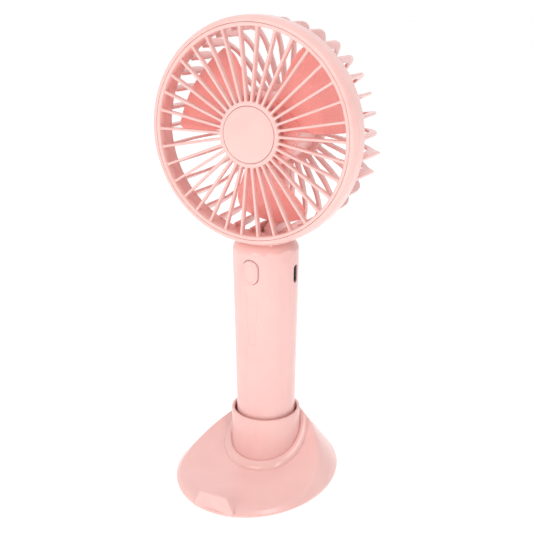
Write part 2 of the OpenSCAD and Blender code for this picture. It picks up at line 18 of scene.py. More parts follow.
import bmesh
import bpy
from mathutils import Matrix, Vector


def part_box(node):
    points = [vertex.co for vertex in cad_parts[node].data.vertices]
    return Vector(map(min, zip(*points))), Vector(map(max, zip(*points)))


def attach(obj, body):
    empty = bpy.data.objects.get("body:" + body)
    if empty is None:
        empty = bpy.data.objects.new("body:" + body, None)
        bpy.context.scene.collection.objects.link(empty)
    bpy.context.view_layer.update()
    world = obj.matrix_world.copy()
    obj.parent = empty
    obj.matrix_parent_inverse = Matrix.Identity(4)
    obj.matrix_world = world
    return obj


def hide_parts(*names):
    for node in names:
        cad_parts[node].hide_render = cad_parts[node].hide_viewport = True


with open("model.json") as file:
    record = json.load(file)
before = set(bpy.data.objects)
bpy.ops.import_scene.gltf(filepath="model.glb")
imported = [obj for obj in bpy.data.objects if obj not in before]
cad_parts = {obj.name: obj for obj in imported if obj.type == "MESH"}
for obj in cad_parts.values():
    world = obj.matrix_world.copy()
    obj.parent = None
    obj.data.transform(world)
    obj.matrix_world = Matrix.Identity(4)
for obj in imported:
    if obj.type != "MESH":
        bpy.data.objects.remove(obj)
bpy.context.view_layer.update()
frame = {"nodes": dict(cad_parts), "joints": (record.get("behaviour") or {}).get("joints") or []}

LOG = logging.getLogger("fan")
MM = 0.001
SPIN = next(joint for joint in frame["joints"] if joint["name"] == "impeller_spin")
AXIS = Vector(SPIN["pos_m"]) / MM
GRIP = Vector((AXIS.x, AXIS.y, 0.0))
SMOOTH_BELOW = math.radians(32)

Loop = list[Vector]
Flat = tuple[float, float]
Corner = tuple[float, float, float]
Place = Callable[[float, float, float], Vector]


class Body(Enum):
    """The moving bodies that a piece can ride on."""

    STAND = "stand"
    FAN = "fan"
    ROTOR = "rotor"
    BUTTON = "button"


# ---------------------------------------------------------------- shapes


def polar(radius: float, angle: float, depth: float, aside: float = 0.0) -> Vector:
    """Place a point round the head's axis.

    Args:
        radius: Distance from the axis.
        angle: Angle from +X towards +Z, in radians.
        depth: Distance behind the grip's axis.
        aside: Distance along the circumference.

    Returns:
        The point, in the head's frame.
    """
    c, s = math.cos(angle), math.sin(angle)
    return Vector((radius * c - aside * s, depth, radius * s + aside * c))


def rounded(corners: Sequence[Corner], steps: int = 5, closed: bool = True) -> list[Flat]:
    """Round the corners of a flat outline.

    Args:
        corners: Each corner's two coordinates and its radius.
        steps: Number of stretches in each round corner.
        closed: Whether the outline returns to its start.

    Returns:
        The outline's points, with an arc in place of each corner that has a radius.
    """
    points: list[Flat] = []
    count = len(corners)
    for i, (x, y, radius) in enumerate(corners):
        here = Vector((x, y))
        if radius <= 0 or (not closed and i in (0, count - 1)):
            points.append((x, y))
            continue
        before = (Vector(corners[i - 1][:2]) - here).normalized()
        after = (Vector(corners[(i + 1) % count][:2]) - here).normalized()
        half = before.angle(after) / 2
        centre = here + (before + after).normalized() * radius / math.sin(half)
        start = here + before * radius / math.tan(half) - centre
        turn = math.pi - 2 * half
        if before.x * after.y - before.y * after.x > 0:
            turn = -turn
        for k in range(steps + 1):
            c, s = math.cos(turn * k / steps), math.sin(turn * k / steps)
            points.append((centre.x + start.x * c - start.y * s, centre.y + start.x * s + start.y * c))
    return points


def round_ended(half_wide: float, half_long: float, steps: int) -> list[Flat]:
    """Return the outline of an upright slot whose two ends are almost half circles."""
    radius = half_wide * 0.98
    return rounded([(-half_wide, -half_long, radius), (half_wide, -half_long, radius),
                    (half_wide, half_long, radius), (-half_wide, half_long, radius)], steps)


def spread(start: float, end: float, count: int) -> list[float]:
    """Return count values from start to just before end, evenly spaced."""
    return [start + (end - start) * i / count for i in range(count)]


def ease(value: float) -> float:
    """Return value clamped to 0 to 1 and eased at both ends."""
    t = min(max(value, 0.0), 1.0)
    return t * t * (3 - 2 * t)


class Solid:
    """Vertices and faces of one piece, in millimetres, made of closed shells."""

    def __init__(self) -> None:
        """Start with nothing."""
        self.points: list[Vector] = []
        self.faces: list[tuple[int, ...]] = []

    def skin(self, loops: Sequence[Loop], ring: bool = False) -> Solid:
        """Join loops of equal length into a tube.

        Args:
            loops: The loops in turn.
            ring: Whether the last loop joins the first. If not, both ends are capped.

        Returns:
            This solid.
        """
        base, rows, width = len(self.points), len(loops), len(loops[0])
        for loop in loops:
            self.points.extend(loop)
        for i in range(rows if ring else rows - 1):
            for j in range(width):
                a, b = base + i * width, base + (i + 1) % rows * width
                k = (j + 1) % width
                self.faces.append((a + j, a + k, b + k, b + j))
        if not ring:
            self.faces.append(tuple(base + j for j in reversed(range(width))))
            self.faces.append(tuple(base + (rows - 1) * width + j for j in range(width)))
        return self

    def turned(self, outline: Sequence[Flat], steps: int = 192) -> Solid:
        """Turn a closed outline of (radius, depth) points round the head's axis."""
        turns = spread(0, 2 * math.pi, steps)
        return self.skin([[polar(r, a, y) for r, y in outline] for a in turns], ring=True)

    def disc(self, outline: Sequence[Flat], steps: int = 192) -> Solid:
        """Turn an open outline of (radius, depth) points, whose two ends become flat faces."""
        turns = spread(0, 2 * math.pi, steps)
        return self.skin([[polar(r, a, y) for a in turns] for r, y in outline])

    def prism(self, outline: Sequence[Flat], place: Place, low: float, high: float, edge: float) -> Solid:
        """Pull an outline out into a block with soft edges.

        Args:
            outline: The outline's points.
            place: Turns the outline's coordinates and a height into a point.
            low: Height of the first end.
            high: Height of the other end.
            edge: Radius of the soft edge at both ends.

        Returns:
            This solid.
        """
        loops = []
        for height, inset in ((low, edge), (low + 0.3 * edge, 0.3 * edge), (low + edge, 0.0),
                              (high - edge, 0.0), (high - 0.3 * edge, 0.3 * edge), (high, edge)):
            loops.append([place(x, y, height) for x, y in shrunk(outline, inset)])
        return self.skin(loops)

    def moved(self, step: Vector) -> Solid:
        """Move every point by one step and return this solid."""
        self.points = [point + step for point in self.points]
        return self

    def mesh(self, name: str) -> bpy.types.Object:
        """Turn the solid into an object in metres, with its faces turned outwards.

        Args:
            name: The new object's name.

        Returns:
            The object, linked to the scene.
        """
        data = bpy.data.meshes.new(name)
        data.from_pydata([point * MM for point in self.points], [], self.faces)
        work = bmesh.new()
        work.from_mesh(data)
        bmesh.ops.recalc_face_normals(work, faces=work.faces)
        work.to_mesh(data)
        work.free()
        piece = bpy.data.objects.new(name, data)
        bpy.context.scene.collection.objects.link(piece)
        return piece


def shrunk(outline: Sequence[Flat], inset: float) -> list[Flat]:
    """Move each point of a closed outline inwards, towards the side its neighbours turn to."""
    if inset == 0:
        return list(outline)
    count = len(outline)
    area = sum(a[0] * b[1] - b[0] * a[1] for a, b in zip([outline[-1], *outline], outline))
    side = inset if area > 0 else -inset
    moved = []
    for i, (x, y) in enumerate(outline):
        before, after = outline[i - 1], outline[(i + 1) % count]
        a = Vector((x - before[0], y - before[1])).normalized()
        b = Vector((after[0] - x, after[1] - y)).normalized()
        normal = Vector((-a.y - b.y, a.x + b.x))
        if normal.length > 0:
            normal = normal.normalized() / max(0.5, math.cos(a.angle(b, 0.0) / 2))
        moved.append((x + normal.x * side, y + normal.y * side))
    return moved


def carve(piece: bpy.types.Object, tool: bpy.types.Object, operation: str) -> None:
    """Cut one mesh with another, keep the result and delete the cutting mesh.

    Args:
        piece: The mesh that is changed.
        tool: The mesh that cuts.
        operation: DIFFERENCE or INTERSECT.
    """
    cut = piece.modifiers.new("cut", "BOOLEAN")
    cut.operation = operation
    cut.solver = "EXACT"
    cut.object = tool
    view = bpy.context.evaluated_depsgraph_get()
    data = bpy.data.meshes.new_from_object(piece.evaluated_get(view))
    piece.modifiers.clear()
    piece.data = data
    bpy.data.objects.remove(tool)


def publish(piece: bpy.types.Object, finish: bpy.types.Material, body: Body, node: str) -> None:
    """Dress a new mesh and tie it to the frame.

    Args:
        piece: The mesh.
        finish: Its material.
        body: The body that it rides on.
        node: The CAD node that it stands for.
    """
    piece.data.materials.clear()
    piece.data.materials.append(finish)
    piece.data.shade_smooth()
    piece.data.set_sharp_from_angle(angle=SMOOTH_BELOW)
    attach(piece, body.value)
    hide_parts(node)
    LOG.info("%s: %d faces, rides on %s", piece.name, len(piece.data.polygons), body.value)


def dress(node: str, finish: bpy.types.Material, edge: float = 0.0) -> None:
    """Give a CAD node its material and, where it shows, soft edges.

    Args:
        node: The CAD node's name.
        finish: Its material.
        edge: Radius of its soft edges, or 0 for none.
    """
    piece = frame["nodes"][node]
    piece.data.materials.clear()
    piece.data.materials.append(finish)
    if edge > 0:
        bevel = piece.modifiers.new("soft edges", "BEVEL")
        bevel.width = edge * MM
        bevel.segments = 2
        bevel.limit_method = "ANGLE"
        bevel.harden_normals = True
    LOG.info("%s: CAD node with %s", node, finish.name)


# ---------------------------------------------------------------- finishes


def linear(code: str) -> tuple[float, float, float, float]:
    """Turn an sRGB hex colour into linear RGBA."""
    parts = (int(code[i : i + 2], 16) / 255 for i in (1, 3, 5))
    r, g, b = (p / 12.92 if p <= 0.04045 else ((p + 0.055) / 1.055) ** 2.4 for p in parts)
    return (r, g, b, 1.0)


def per_mm(size: float) -> float:
    """Turn the size of a pattern in millimetres into a texture scale."""
    return 1.0 / (size * MM)


def add(tree: bpy.types.NodeTree, kind: str, inputs: Mapping[str, object] | None = None,
        **settings: object) -> bpy.types.Node:
    """Add a shader node with its settings and links.

    Args:
        tree: The material's node tree.
        kind: The node's type name.
        inputs: Input names with a value, or with the output socket that feeds them.
        settings: The node's own properties.

    Returns:
        The node.
    """
    node = tree.nodes.new(kind)
    for key, value in settings.items():
        setattr(node, key, value)
    for key, value in (inputs or {}).items():
        if isinstance(value, bpy.types.NodeSocket):
            tree.links.new(value, node.inputs[key])
        else:
            node.inputs[key].default_value = value
    return node


def blank(name: str) -> tuple[bpy.types.Material, bpy.types.NodeTree, bpy.types.NodeSocket]:
    """Start a material and return it, its node tree and the piece's own coordinates."""
    material = bpy.data.materials.new(name)
    material.use_nodes = True
    material.node_tree.nodes.clear()
    place = add(material.node_tree, "ShaderNodeTexCoord")
    return material, material.node_tree, place.outputs["Object"]


def shade(tree: bpy.types.NodeTree, inputs: Mapping[str, object]) -> None:
    """End a material with one principled shader that has these inputs."""
    shader = add(tree, "ShaderNodeBsdfPrincipled", inputs)
    add(tree, "ShaderNodeOutputMaterial", {"Surface": shader.outputs["BSDF"]})


def ramp(tree: bpy.types.NodeTree, source: bpy.types.NodeSocket, low: tuple, high: tuple,
         start: float = 0.3, end: float = 0.7) -> bpy.types.NodeSocket:
    """Blend two colours by a value.

    Args:
        tree: The material's node tree.
        source: The value.
        low: Colour where the value is at start or under.
        high: Colour where the value is at end or over.
        start: Value where the blend begins.
        end: Value where the blend ends.

    Returns:
        The blended colour's socket.
    """
    node = add(tree, "ShaderNodeValToRGB", {"Fac": source})
    first, last = node.color_ramp.elements
    first.position, first.color = start, low
    last.position, last.color = end, high
    return node.outputs["Color"]


def spanned(tree: bpy.types.NodeTree, source: bpy.types.NodeSocket, low: float, high: float,
            start: float = 0.3, end: float = 0.7) -> bpy.types.NodeSocket:
    """Map a value that runs from start to end onto low to high."""
    node = add(tree, "ShaderNodeMapRange", {"Value": source, "From Min": start, "From Max": end,
                                            "To Min": low, "To Max": high})
    return node.outputs["Result"]


def bumped(tree: bpy.types.NodeTree, source: bpy.types.NodeSocket, depth: float,
           under: bpy.types.NodeSocket | None = None) -> bpy.types.NodeSocket:
    """Turn a value into relief.

    Args:
        tree: The material's node tree.
        source: The value.
        depth: The relief's depth, in millimetres.
        under: Relief that this one lies on, or None.

    Returns:
        The normal's socket.
    """
    inputs = {"Height": source, "Strength": 1.0, "Distance": depth * MM}
    if under is not None:
        inputs["Normal"] = under
    return add(tree, "ShaderNodeBump", inputs).outputs["Normal"]


@dataclass(frozen=True)
class MouldedPlastic:
    """Injection-moulded plastic: even colour, a faint swirl from the melt, soft gloss and a fine grain."""

    name: str
    colour: str
    swirl_colour: str
    roughness: float
    ior: float = 1.53
    swirl: float = 26.0
    grain: float = 0.9
    grain_depth: float = 0.0035
    wave: float = 9.0
    wave_depth: float = 0.012

    def build(self) -> bpy.types.Material:
        """Make the material and return it."""
        material, tree, place = blank(self.name)
        swirl = add(tree, "ShaderNodeTexNoise", {"Vector": place, "Scale": per_mm(self.swirl), "Detail": 3.0,
                                                 "Distortion": 1.2})
        colour = ramp(tree, swirl.outputs["Fac"], linear(self.swirl_colour), linear(self.colour))
        # The tool's grain is a tenth of a millimetre or finer, so it is drawn coarser to show at all.
        grain = add(tree, "ShaderNodeTexNoise", {"Vector": place, "Scale": per_mm(self.grain), "Detail": 2.0})
        wave = add(tree, "ShaderNodeTexNoise", {"Vector": place, "Scale": per_mm(self.wave), "Detail": 1.0})
        slow = bumped(tree, wave.outputs["Fac"], self.wave_depth)
        fine = bumped(tree, grain.outputs["Fac"], self.grain_depth, slow)
        rough = spanned(tree, grain.outputs["Fac"], self.roughness * 0.88, self.roughness * 1.12)
        shade(tree, {"Base Color": colour, "Roughness": rough, "IOR": self.ior, "Normal": fine})
        return material


@dataclass(frozen=True)
class PlatedSteel:
    """Zinc or nickel plate over rolled steel: bright, cool, with short rolling streaks."""

    name: str
    colour: str = "#C4C7CA"
    dark: str = "#8E9296"
    roughness: float = 0.28
    streak: float = 0.35
    stretch: float = 12.0
    streak_depth: float = 0.003

    def build(self) -> bpy.types.Material:
        """Make the material and return it."""
        material, tree, place = blank(self.name)
        along = add(tree, "ShaderNodeMapping", {"Vector": place, "Scale": (1.0, self.stretch, self.stretch)})
        scale = per_mm(self.streak * self.stretch)
        streak = add(tree, "ShaderNodeTexNoise", {"Vector": along.outputs["Vector"], "Scale": scale,
                                                  "Detail": 3.0})
        colour = ramp(tree, streak.outputs["Fac"], linear(self.dark), linear(self.colour))
        bump = bumped(tree, streak.outputs["Fac"], self.streak_depth)
        rough = spanned(tree, streak.outputs["Fac"], self.roughness + 0.12, self.roughness)
        shade(tree, {"Base Color": colour, "Roughness": rough, "Metallic": 1.0, "Normal": bump})
        return material


@dataclass(frozen=True)
class WoundCopper:
    """Enamelled copper wire: round turns side by side, with painted shade in the grooves between them."""

    name: str
    colour: str = "#C9743A"
    gap: str = "#5E2A12"
    wire: float = 0.5
    relief: float = 0.05

    def build(self) -> bpy.types.Material:
        """Make the material and return it."""
        material, tree, place = blank(self.name)
        # Real wire is about 0.15 mm; it is drawn thicker so that the turns show.
        scale = per_mm(self.wire) / 20
        turns = add(tree, "ShaderNodeTexWave", {"Vector": place, "Scale": scale, "Distortion": 0.6,
                                                "Detail": 1.0}, bands_direction="DIAGONAL")
        # Painted shade: the colour darkens to a deep brown in the grooves between the turns, where shade
        # falls between round wires.
        colour = ramp(tree, turns.outputs["Fac"], linear(self.gap), linear(self.colour), 0.05, 0.5)
        bump = bumped(tree, turns.outputs["Fac"], self.relief)
        shade(tree, {"Base Color": colour, "Roughness": 0.3, "Metallic": 1.0, "Normal": bump})
        return material


@dataclass(frozen=True)
class FoamRubber:
    """Closed-cell foam rubber: dead matt, near black, with small pits where cells are cut open, and painted
    shade darkening the pits.
    """

    name: str
    colour: str = "#2A2A2C"
    painted_pit_shade: str = "#121213"
    cell: float = 1.1
    patch: float = 12.0
    pit_depth: float = 0.12

    def build(self) -> bpy.types.Material:
        """Make the material and return it."""
        material, tree, place = blank(self.name)
        cells = add(tree, "ShaderNodeTexVoronoi", {"Vector": place, "Scale": per_mm(self.cell),
                                                   "Randomness": 1.0})
        patch = add(tree, "ShaderNodeTexNoise", {"Vector": place, "Scale": per_mm(self.patch), "Detail": 4.0})
        pit, skin = linear(self.painted_pit_shade), linear(self.colour)
        # Painted shade: the colour darkens towards each pit's middle, where shade falls inside the cut cells.
        colour = ramp(tree, cells.outputs["Distance"], pit, skin, 0.1, 0.45)
        bump = bumped(tree, cells.outputs["Distance"], self.pit_depth)
        rough = spanned(tree, patch.outputs["Fac"], 0.82, 0.95)
        shade(tree, {"Base Color": colour, "Roughness": rough, "IOR": 1.5, "Normal": bump})
        return material


@dataclass(frozen=True)
class SolderMask:
    """Green solder mask over fibreglass: glossy, with raised copper tracks that show as paler lines."""

    name: str
    board: str = "#0E5A33"
    track: str = "#2C8A50"
    pitch: float = 1.9
    track_height: float = 0.04

    def build(self) -> bpy.types.Material:
        """Make the material and return it."""
        material, tree, place = blank(self.name)
        turned = add(tree, "ShaderNodeMapping", {"Vector": place, "Rotation": (math.pi / 2, 0.0, 0.0)})
        tracks = add(tree, "ShaderNodeTexBrick", {
            "Vector": turned.outputs["Vector"], "Scale": per_mm(self.pitch), "Color1": linear(self.board),
            "Color2": linear(self.board), "Mortar": linear(self.track), "Mortar Size": 0.12,
            "Brick Width": 1.7, "Row Height": 1.0})
        bump = bumped(tree, tracks.outputs["Fac"], self.track_height)
        shade(tree, {"Base Color": tracks.outputs["Color"], "Roughness": 0.3, "IOR": 1.5, "Normal": bump})
        return material


@dataclass(frozen=True)
class ShrinkFilm:
    """Heat-shrunk PVC film: bright, glossy and slightly puckered where it has drawn in."""

    name: str
    colour: str = "#2F63C9"
    thin: str = "#4A7BDD"
    pucker: float = 4.0
    pucker_depth: float = 0.04

    def build(self) -> bpy.types.Material:
        """Make the material and return it."""
        material, tree, place = blank(self.name)
        pucker = add(tree, "ShaderNodeTexNoise", {"Vector": place, "Scale": per_mm(self.pucker),
                                                  "Detail": 4.0, "Distortion": 0.8})
        colour = ramp(tree, pucker.outputs["Fac"], linear(self.colour), linear(self.thin))
        bump = bumped(tree, pucker.outputs["Fac"], self.pucker_depth)
        shade(tree, {"Base Color": colour, "Roughness": 0.18, "IOR": 1.54, "Normal": bump})
        return material


@dataclass(frozen=True)
class Sintered:
    """Pressed and fired powder, such as ferrite or bronze: granular, with a dull broken sheen."""

    name: str
    colour: str
    speck: str
    metallic: float
    roughness: float
    grit: float = 0.5
    grit_depth: float = 0.02

    def build(self) -> bpy.types.Material:
        """Make the material and return it."""
        material, tree, place = blank(self.name)
        grit = add(tree, "ShaderNodeTexVoronoi", {"Vector": place, "Scale": per_mm(self.grit)})
        colour = ramp(tree, grit.outputs["Distance"], linear(self.speck), linear(self.colour), 0.1, 0.5)
        bump = bumped(tree, grit.outputs["Distance"], self.grit_depth)
        shade(tree, {"Base Color": colour, "Roughness": self.roughness, "Metallic": self.metallic,
                     "Normal": bump})
        return material


class Finishes:
    """Every finish of the fan, made once."""

    def __init__(self) -> None:
        """Make the materials."""
        # Pale pink ABS from a polished tool: a clear soft highlight on an even, warm body colour.
        self.shell = MouldedPlastic("satin pink ABS", "#F2C6C2", "#EFC0BC", 0.2).build()
        # The same plastic, given a deeper coral tint that is painted shade and painted reflected light from
        # inside the ring: the blades read as coral inside the ring.
        self.blade = MouldedPlastic("pink ABS painted coral for inner shade", "#FFB4AE", "#FCA8A2", 0.26).build()
        # Glass-filled nylon: near black, with a dry grainy sheen.
        self.nylon = MouldedPlastic("black nylon", "#1C1C1E", "#242427", 0.5, grain=0.5,
                                    grain_depth=0.01).build()
        # Soft PVC insulation: red, waxy, slightly uneven along the wire.
        self.insulation = MouldedPlastic("red PVC", "#B3201A", "#9A1712", 0.42, wave=2.5,
                                         wave_depth=0.03).build()
        # Clear epoxy over a white cup: bright and glossy.
        self.lens = MouldedPlastic("clear epoxy", "#F4F6F0", "#E8EBE2", 0.12, ior=1.5).build()
        self.steel = PlatedSteel("nickel-plated steel").build()
        self.copper = WoundCopper("enamelled copper").build()
        self.foam = FoamRubber("closed-cell foam rubber").build()
        self.board = SolderMask("fibreglass with solder mask").build()
        self.film = ShrinkFilm("heat-shrunk PVC").build()
        # Ferrite: charcoal, like fired clay.
        self.ferrite = Sintered("sintered ferrite", "#3A3A3C", "#1E1E20", 0.0, 0.7).build()
        # Oil-filled bronze: brown-gold and porous.
        self.bronze = Sintered("sintered bronze", "#B88A55", "#6E4A25", 1.0, 0.45).build()


# ---------------------------------------------------------------- head


@dataclass
class Head:
    """Head ring, front grille with its badge, and the rear guard with its cap."""

    ring_radius: float = 51.5
    ring_front_radius: float = 50.0
    ring_front: float = -18.3
    ring_back: float = -7.5
    seam_radius: float = 48.5
    lug_half: float = 9.0
    lug_front: float = -11.0
    lug_back: float = 8.8
    lug_low: float = -59.9
    lug_high: float = -50.1
    grille_back: float = -14.3
    rim_radius: float = 46.8
    boss_radius: float = 14.9
    boss_front: float = -17.6
    rib_count: int = 34
    rib_thickness: float = 1.15
    rib_depth: float = 3.0
    # Each flare is a radius with the share that a rib's width is widened to there.
    flares: tuple[Flat, ...] = (
        (13.6, 1.5), (14.9, 1.35), (15.6, 1.08), (16.8, 1.0), (30.0, 0.97), (44.6, 1.0), (46.0, 1.12),
        (46.8, 1.5), (47.4, 1.7))
    guard_radius: float = 50.4
    guard_rib_depth: float = 4.3
    guard_rib_thickness: float = 1.3
    bend: tuple[Flat, Flat, Flat] = ((50.4, 8.0), (50.0, 24.0), (30.0, 26.2))
    point: Flat = (51.3, 16.5)
    hub_radius: float = 19.6
    hub_depth: float = 4.4
    hub_back: float = 26.4
    cup_radius: float = 16.5
    cup_front: float = 3.0
    cup_bore: float = 12.3
    cap_back: float = 28.6
    groove_radius: float = 14.2
    pointed: tuple[int, ...] = (10, 11, 24, 25)
    # Each station of the duct is a radius with the duct's front and back depth there.
    duct_half: float = 3.0
    duct_stations: tuple[Corner, ...] = (
        (15.2, 16.9, 22.3), (30.0, 15.1, 20.6), (43.4, 13.5, 19.0), (44.2, 12.8, 18.9), (46.0, 8.6, 18.6),
        (48.4, 2.9, 12.9), (50.3, 2.9, 8.5))

    @property
    def pitch(self) -> float:
        """Angle from one rib to the next."""
        return 2 * math.pi / self.rib_count

    @property
    def first(self) -> float:
        """Angle of the first rib, half a pitch to the left of the top."""
        return math.pi / 2 + self.pitch / 2

    def ring(self) -> Solid:
        """Return the head ring, with the lug that sits in the grip."""
        front, back = self.ring_front, self.ring_back
        seam, inner, outer = self.seam_radius, self.seam_radius - 0.9, self.ring_radius
        outline = rounded([
            (seam + 0.06, self.grille_back, 0.0), (seam + 0.06, front, 0.3),
            (self.ring_front_radius, front, 0.7), (outer - 0.2, front + 2.6, 3.0), (outer, front + 6, 4.0),
            (outer, back, 0.7),
            (inner, back, 0.4), (inner, self.grille_back, 0.2),
        ])
        ring = Solid().turned(outline, 256)
        half, front, back = self.lug_half, self.lug_front, self.lug_back
        block = rounded([(-half, front, 1.2), (half, front, 1.2), (half, back, 1.2), (-half, back, 1.2)])
        return ring.prism(block, lambda x, y, z: Vector((x, y, z)), self.lug_low, self.lug_high, 0.3)

    def bar_section(self, half_width: float, depth: float, edge: float) -> list[Flat]:
        """Return a bar's section as (outwards, aside) points, with its outer edges rounded."""
        return rounded([(0.0, -half_width, edge), (0.0, half_width, edge), (-depth, half_width, edge / 2),
                        (-depth, -half_width, edge / 2)], 3)

    def grille(self) -> Solid:
        """Return the front grille: rim, ribs and boss."""
        solid = Solid()
        front, back = self.ring_front + 0.1, self.grille_back
        rim, seam = self.rim_radius, self.seam_radius - 0.06
        section = [(rim, back, 0.3), (rim, front, 0.6), (seam, front, 0.25), (seam, back, 0.2)]
        solid.turned(rounded(section, 4))
        face, base = self.boss_front, self.boss_front + self.rib_depth + 0.2
        boss, seat = self.boss_radius, self.boss_radius - 1.95
        solid.disc(rounded([(0.5, base, 0.0), (boss, base, 0.4), (boss, face, 0.7), (seat, face, 0.25),
                            (seat, face + 1.5, 0.0), (0.5, face + 1.5, 0.0)], 4, closed=False))
        for i in range(self.rib_count):
            angle = self.first - i * self.pitch
            loops = []
            for radius, widen in self.flares:
                section = self.bar_section(self.rib_thickness / 2 * widen, self.rib_depth, 0.42)
                loops.append([polar(radius, angle, face + 0.15 - out, aside) for out, aside in section])
            solid.skin(loops)
        return solid

    def badge(self) -> Solid:
        """Return the plain disc in the middle of the grille, very slightly domed."""
        radius, face = self.boss_radius - 2.15, self.boss_front
        dome = [(radius * k / 8, face - 0.12 - 0.16 * (1 - (k / 8) ** 2)) for k in range(7, 0, -1)]
        outline = rounded([(0.5, face + 1.4, 0.0), (radius, face + 1.4, 0.1), (radius, face - 0.1, 0.35),
                           (radius - 0.8, face - 0.14, 0.0)], 4, closed=False)
        return Solid().disc(outline + dome)

    def bent(self, t: float) -> tuple[Vector, Vector]:
        """Return a point on the outside of a rear rib's bend, and the way out from it.

        Args:
            t: Place along the bend, from its straight run (0) to its back (1).

        Returns:
            The point and the outward direction, as (radius, depth).
        """
        start, pull, end = (Vector(point) for point in self.bend)
        return (1 - t) ** 2 * start + 2 * t * (1 - t) * pull + t * t * end, Vector((1 - 0.9 * t, t))

    def guard_path(self) -> list[tuple[Vector, Vector]]:
        """Return points along the outside of a rear rib, each with its outward direction."""
        straight = (self.ring_back, -6.5, -1.0, 4.0)
        path = [(Vector((self.guard_radius, y)), Vector((1.0, 0.0))) for y in straight]
        path += [self.bent(k / 14) for k in range(15)]
        end, hub = path[-1][0], Vector((self.hub_radius - 0.6, self.hub_back))
        path += [(end.lerp(hub, t), Vector((0.1 - 0.1 * t, 1.0))) for t in (0.3, 0.6, 0.85, 0.95, 1.0)]
        return path

    def guard(self) -> Solid:
        """Return the rear guard: ring, ribs, hub, motor cup and lead duct."""
        solid = Solid()
        radius, inner = self.guard_radius, self.seam_radius - 0.6
        solid.turned(rounded([(inner, self.ring_back + 0.02, 0.1), (radius, self.ring_back + 0.02, 0.1),
                              (radius, self.ring_back + 2, 0.6), (inner, self.ring_back + 2, 0.5)], 4))
        low, high = self.hub_back - self.hub_depth, self.hub_back + 1
        solid.turned(rounded([(self.cup_radius - 0.5, low, 0.2), (self.hub_radius, low, 0.8),
                              (self.hub_radius, high, 0.8), (self.cup_radius - 0.5, high, 0.4)], 4))
        bore, cup = self.cup_bore, self.cup_radius
        solid.turned(rounded([(bore, self.cup_front + 0.1, 0.2), (cup, self.cup_front, 0.6),
                              (cup, self.hub_back, 0.1), (bore, self.hub_back, 0.1)], 4))
        path = self.guard_path()
        for i in range(self.rib_count):
            angle = self.first - i * self.pitch
            if i in self.pointed:
                self.fin(solid, angle)
                continue
            section = self.bar_section(self.guard_rib_thickness / 2, self.guard_rib_depth, 0.4)
            solid.skin([
                [polar(p.x + out * way.x, angle, p.y + out * way.y, aside) for out, aside in section]
                for p, way in path
            ])
        self.duct(solid)
        return solid

    def fin(self, solid: Solid, angle: float) -> None:
        """Add one of the ribs that end in a sharp corner.

        Args:
            solid: The guard.
            angle: The rib's angle round the axis.
        """
        radius, depth, hub = self.guard_radius, self.guard_rib_depth, self.hub_radius - 0.6
        half = self.guard_rib_thickness / 2
        outside = [self.bent(t)[0] for t in spread(0.38, 1.0, 10)]
        inside = [place - way * depth for place, way in (self.bent(t) for t in spread(1.0, 0.0, 14))]
        outline = rounded(
            [(radius, self.ring_back, 0.0), (*self.point, 0.5)]
            + [(p.x, p.y, 0.0) for p in outside]
            + [(hub, self.hub_back, 0.0), (hub, self.hub_back - depth, 0.0)]
            + [(p.x, p.y, 0.0) for p in inside]
            + [(radius - depth, self.ring_back, 0.0)], 4)
        solid.prism(outline, lambda r, y, w: polar(r, angle, y, w), -half, half, 0.3)

    def duct(self, solid: Solid) -> None:
        """Add the duct that takes the motor leads down the back of the guard."""
        loops = []
        half = self.duct_half
        for radius, front, back in self.duct_stations:
            section = rounded([(-half, front, 1.0), (half, front, 1.0), (half, back, 1.4),
                               (-half, back, 1.4)], 4)
            loops.append([Vector((x, y, -radius)) for x, y in section])
        solid.skin(loops)

    def cap(self) -> Solid:
        """Return the rear cap, a disc with one turned groove."""
        radius, back = self.cup_radius - 0.45, self.cap_back
        groove, floor = self.groove_radius, back - 0.4
        return Solid().disc(rounded([
            (0.5, self.hub_back, 0.0), (radius, self.hub_back, 0.1), (radius, back, 0.6),
            (groove + 0.4, back, 0.12), (groove + 0.3, floor, 0.1), (groove - 0.3, floor, 0.1),
            (groove - 0.4, back, 0.12), (0.5, back, 0.0)], 4, closed=False))

    def build(self, finishes: Finishes) -> None:
        """Make and dress the head's pieces."""
        for name, solid, node in (
            ("head_ring_moulding", self.ring(), "head_ring"),
            ("front_grille_moulding", self.grille(), "front_grille"),
            ("hub_badge_disc", self.badge(), "hub_badge"),
            ("rear_guard_moulding", self.guard(), "rear_guard"),
            ("rear_cap_disc", self.cap(), "rear_cap"),
        ):
            publish(solid.moved(AXIS).mesh(name), finishes.shell, Body.FAN, node)


